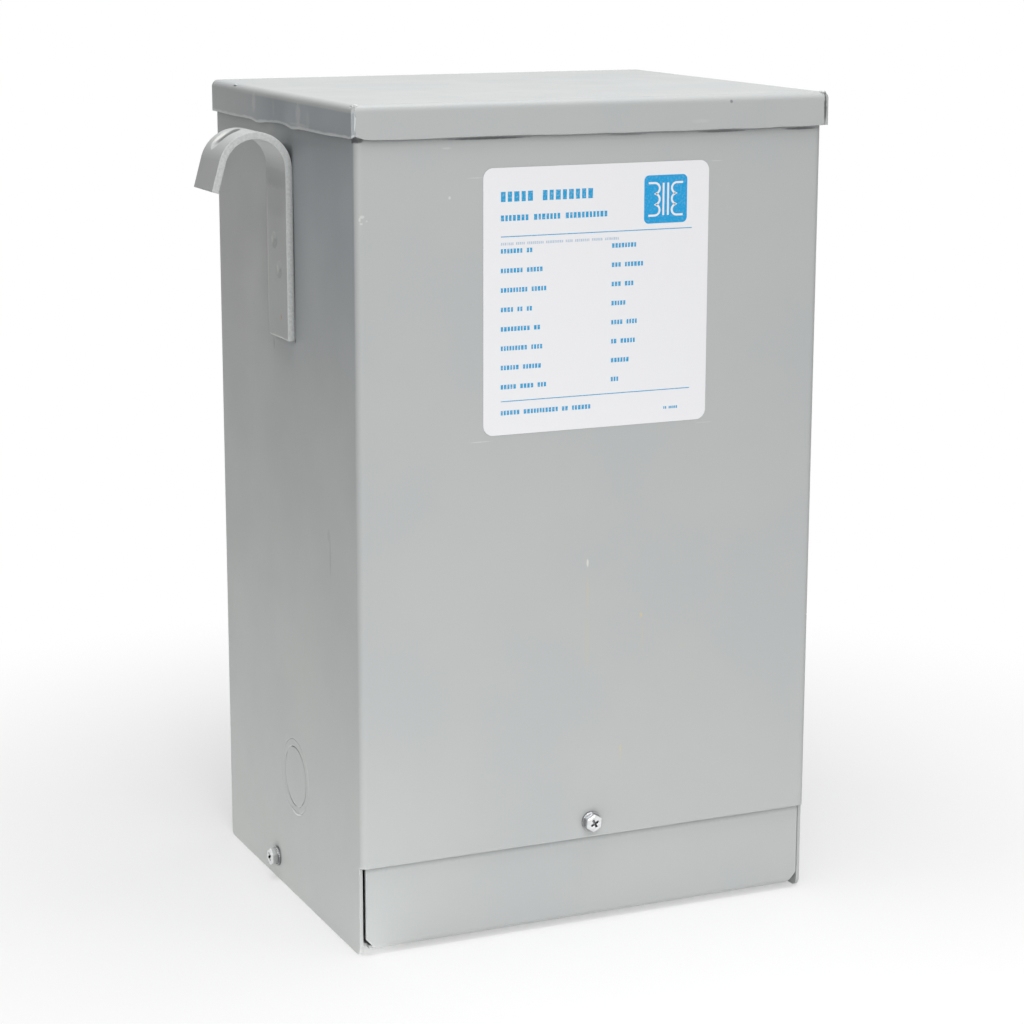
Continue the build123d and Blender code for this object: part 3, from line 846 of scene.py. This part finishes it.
# How uneven they are, how finely, and how far apart the noise of one is from the next
LUMP_RISE, LUMP_SCALE, LUMP_SHIFT = 0.35, 1.9, 1000
LUMP_CUTS = 4


def build_lump(place, half_sizes):
    """A small painted weld with an uneven surface."""
    def build(shape):
        bmesh.ops.create_icosphere(shape, subdivisions=LUMP_CUTS, radius=1.0)
        corner = Vector((LID_LOW.x, LID_LOW.y, LID_HIGH.z))
        for vert in shape.verts:
            lump = 1.0 + LUMP_RISE * noise.noise(vert.co * LUMP_SCALE + Vector(place) * LUMP_SHIFT)
            vert.co = corner + Vector(place) + Vector(a * b * lump for a, b in zip(vert.co, half_sizes))
        for face in shape.faces:
            face.smooth = True
    return build


# The lip pressed up under the outer ring of the left knockout
LIP_SPAN = (math.radians(244), math.radians(296))
LIP_RADIUS, LIP_LEAST = 0.00042, 1e-5
LIP_WIDTH_SHARE = 1.6
LIP_STEPS, LIP_SIDES = 24, 8


def build_lip(shape):
    """A thin raised arc along the ring's cut, fading out at its ends."""
    centre = (LEFT_RING_LOW + LEFT_RING_HIGH) / 2
    radius = (LEFT_RING_HIGH.y - LEFT_RING_LOW.y) / 2
    rings = []
    for step in range(LIP_STEPS + 1):
        share = step / LIP_STEPS
        angle = LIP_SPAN[0] + (LIP_SPAN[1] - LIP_SPAN[0]) * share
        thick = LIP_RADIUS * math.sin(math.pi * share) ** 0.5 + LIP_LEAST
        outward = Vector((0.0, math.cos(angle), math.sin(angle)))
        middle = Vector((LEFT_X, centre.y, centre.z)) + outward * radius
        ring = []
        for side in range(LIP_SIDES):
            turn = 2 * math.pi * side / LIP_SIDES
            across = outward * math.cos(turn) * thick * LIP_WIDTH_SHARE
            offset = across - Vector((math.sin(turn) * thick, 0, 0))
            ring.append(shape.verts.new(middle + offset))
        rings.append(ring)
    for first, second in zip(rings, rings[1:]):
        for i in range(LIP_SIDES):
            j = (i + 1) % LIP_SIDES
            face = shape.faces.new((first[i], first[j], second[j], second[i]))
            face.smooth = True
    shape.faces.new(rings[0])
    shape.faces.new(rings[-1])
    bmesh.ops.recalc_face_normals(shape, faces=shape.faces[:])


def dress_frame():
    """Gives each piece of the frame its finish."""
    finishes = {
        "grey_paint": paint("grey_enamel"),
        "zinc": zinc("zinc_plate"),
        "bare_steel": bare_steel("mill_steel"),
        "core_steel": lamination("lamination_edges"),
        "winding": rough_solid("wrapped_winding", WINDING, TAN, WRAP_GRAIN, WRAP_ROUGHNESS),
        "potting": rough_solid("cast_potting", POTTING, CORE, CAST_GRAIN, CAST_ROUGHNESS),
    }
    marked = {
        "case_wrap": paint("grey_enamel_marked", FRONT_MARKS, LEFT_MARKS, WALL_SHADE_CORNER, WIDE_SEAM_SHADE),
        "bottom_cover": paint("grey_enamel_cover", COVER_SHADOW),
        "left_hook": paint("grey_enamel_strap", (), STRAP_MARKS, strap=True),
        "right_hook": paint("grey_enamel_right_strap", strap=True),
    }
    for row in frame["record"]["subparts"]:
        node = frame["nodes"][row["node"]]
        node.data.materials.clear()
        node.data.materials.append(marked.get(row["node"], finishes[row["material_slot"]]))


def make_pieces():
    """The pieces that the frame doesn't have, and a dented lid in place of its plain one."""
    blue = ink("blue_ink", INK, PRINT_FADED)
    mesh_piece("label", build_label, vinyl("label_vinyl"))
    mesh_piece("label_print", build_print, blue)
    mesh_piece("label_faint_print", build_faint_print, ink("faint_ink", INK_FAINT, FAINT_FADED))
    mesh_piece("label_emblem", build_emblem, ink("emblem_ink", INK_EMBLEM, EMBLEM_FADED))
    mesh_piece("label_windings", build_windings, vinyl("label_windings"))
    enamel = paint("grey_enamel_lid", LID_FRONT_MARKS, LID_LEFT_HIGHLIGHTS, LID_SHADE_CORNER, wear_and_highlight=LID_HEM_HIGHLIGHT)
    lid = mesh_piece("dented_lid", build_lid, enamel)
    lid.data.attributes.remove(lid.data.attributes["custom_normal"])
    lid.data.set_sharp_from_angle(angle=LID_SHARP_ANGLE)
    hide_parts("lid")
    # The welds and the knockout's lip are lightened all over by a painted highlight
    pale = paint("grey_enamel_highlighted", seam_shade=None, pale=WELD_HIGHLIGHT)
    for name, (place, half_sizes) in LUMPS.items():
        mesh_piece(name, build_lump(place, half_sizes), pale)
    mesh_piece("left_knockout_lip", build_lip, pale)


def floor_glow(graph, place):
    """How much light each part of the table throws up, beyond what falls on it."""
    axes = graph.node("ShaderNodeSeparateXYZ", Vector=place).outputs
    total = 0.0
    for x, y, half_width, half_depth, strength in GLOWS:
        across = graph.calc("ABSOLUTE", graph.calc("SUBTRACT", axes["X"], x))
        along = graph.calc("ABSOLUTE", graph.calc("SUBTRACT", axes["Y"], y))
        within = graph.calc(
            "MULTIPLY",
            graph.smooth(across, half_width, half_width * (1 - GLOW_SOFT)),
            graph.smooth(along, half_depth, half_depth * (1 - GLOW_SOFT), 0.0, strength),
        )
        total = graph.calc("ADD", within, total)
    return total


def make_floor():
    """A white table whose bounce fades away from the object, and that shows as plain white there."""
    bpy.ops.mesh.primitive_plane_add(size=FLOOR_SIZE)
    floor = bpy.context.object
    floor.name = "floor"
    material, graph = new_graph("white_table")
    place = graph.place()
    distance = graph.length(place)
    seen = graph.seen()
    table = graph.blend(graph.smooth(distance, BOUNCE_NEAR, BOUNCE_FAR), FLOOR_WHITE, FLOOR_DARK)
    colour = graph.blend(seen, table, FLOOR_WHITE)
    near = graph.node("ShaderNodeBsdfDiffuse", Color=colour).outputs[0]
    far = graph.node("ShaderNodeEmission", Color=WHITE, Strength=1.0).outputs[0]
    fade = graph.calc("MULTIPLY", graph.smooth(distance, WHITE_NEAR, WHITE_FAR, WHITE_LEAST, 1.0), seen)
    mixed = graph.mix(fade, near, far)
    unseen = graph.calc("SUBTRACT", 1.0, seen)
    strength = graph.calc("MULTIPLY", floor_glow(graph, place), unseen)
    glow = graph.node("ShaderNodeEmission", Color=GLOW_TINT, Strength=strength).outputs[0]
    lit = graph.node("ShaderNodeAddShader")
    for socket, shader in zip(lit.inputs, (mixed, glow)):
        graph.feed(socket, shader)
    graph.result(lit.outputs[0])
    material.cycles.emission_sampling = "NONE"
    floor.data.materials.append(material)


def make_world():
    """A dim even fill that shows as white behind the object."""
    world = bpy.data.worlds.new("studio")
    bpy.context.scene.world = world
    world.use_nodes = True
    graph = Graph(world.node_tree)
    fill = graph.node("ShaderNodeBackground", Color=WORLD_FILL, Strength=WORLD_STRENGTH).outputs[0]
    white = graph.node("ShaderNodeBackground", Color=WHITE, Strength=1.0).outputs[0]
    graph.result(graph.mix(graph.seen(), fill, white), "ShaderNodeOutputWorld")


def make_lamps():
    """Large soft lamps above and in front of the object."""
    for name, (place, aim, width, height, power) in LAMPS.items():
        lamp = bpy.data.lights.new(name, "AREA")
        lamp.shape = "RECTANGLE"
        lamp.size, lamp.size_y = width, height
        lamp.energy = power
        made = bpy.data.objects.new(name, lamp)
        made.visible_camera = False
        made.location = place
        made.rotation_mode = "QUATERNION"
        made.rotation_quaternion = (Vector(aim) - Vector(place)).to_track_quat("-Z", "Y")
        bpy.context.scene.collection.objects.link(made)


def make_camera():
    """A camera at the photograph's viewing angle."""
    lens = bpy.data.cameras.new("camera")
    lens.lens, lens.sensor_width = CAMERA_LENS, SENSOR_WIDTH
    lens.clip_start, lens.clip_end = CLIP_NEAR, CLIP_FAR
    back = Vector((
        math.sin(CAMERA_YAW) * math.cos(CAMERA_PITCH),
        -math.cos(CAMERA_YAW) * math.cos(CAMERA_PITCH),
        math.sin(CAMERA_PITCH),
    ))
    level = Vector((0, 0, 1)).cross(back).normalized()
    turned = Matrix.Rotation(CAMERA_ROLL, 3, back)
    right = turned @ level
    up = back.cross(right)
    camera = bpy.data.objects.new("camera", lens)
    camera.matrix_world = Matrix((
        (right.x, up.x, back.x, CAMERA_PLACE.x),
        (right.y, up.y, back.y, CAMERA_PLACE.y),
        (right.z, up.z, back.z, CAMERA_PLACE.z),
        (0, 0, 0, 1),
    ))
    bpy.context.scene.collection.objects.link(camera)
    bpy.context.scene.camera = camera


dress_frame()
make_pieces()
make_floor()
make_world()
make_lamps()
make_camera()
bpy.context.scene.view_settings.view_transform = "Standard"
